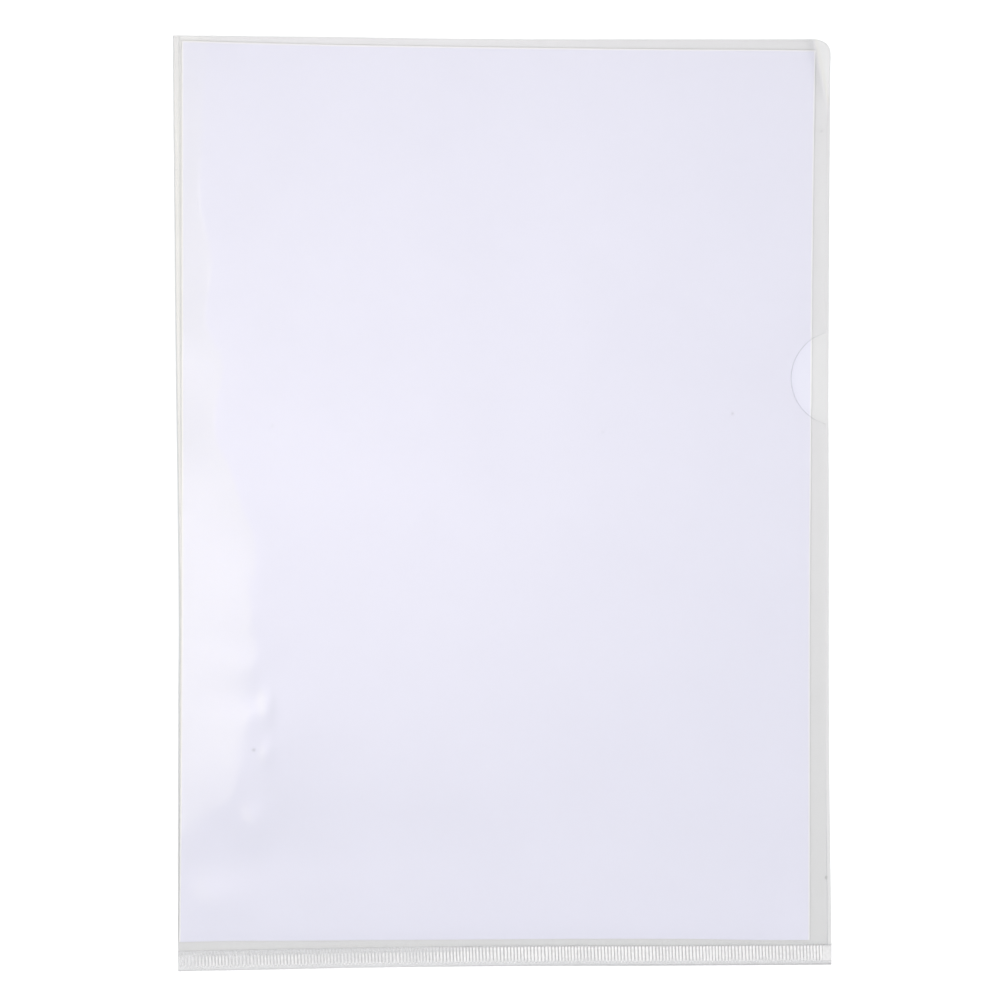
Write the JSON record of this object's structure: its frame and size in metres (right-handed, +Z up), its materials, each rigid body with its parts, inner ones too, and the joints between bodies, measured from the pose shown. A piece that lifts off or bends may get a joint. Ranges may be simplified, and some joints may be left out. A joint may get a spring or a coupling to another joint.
{
  "type": "l-shaped plastic folder",
  "caption": "Clear plastic sleeve for an A4 sheet, folded along the left, welded with ribs along the foot, open at the top and right, with a thumb notch in the front leaf.",
  "frame": {"origin": "under the middle of the folder's outline, on the surface that the folder lies on", "axes": "+X across the folder from the fold to the open side, +Y up the page from the welded foot to the open top, +Z up out of the front leaf"},
  "size_m": [0.2176, 0.309, 0.0036],
  "materials": {
    "clear_film": "gloss",
    "welded_film": "satin",
    "paper": "matte"
  },
  "bodies": {
    "folder": {"back_leaf": "clear_film", "left_fold": "clear_film", "front_leaf_foot": "clear_film", "front_leaf": "clear_film", "bottom_weld": "welded_film"},
    "free_corner": {"front_corner": "clear_film"},
    "paper": {"paper_sheet": "paper"}
  },
  "joints": [
    {"name": "corner_lift", "type": "hinge", "parent": "folder", "child": "free_corner", "pos_m": [-0.097, 0.1545, 0.0011], "axis": [0.5742, -0.8187, 0], "range_deg": [0, 60], "stiffness_Nm_per_rad": 0.004},
    {"name": "paper_slide", "type": "slide", "parent": "folder", "child": "paper", "axis": [1, 0, 0], "range_m": [0, 0.22]}
  ]
}
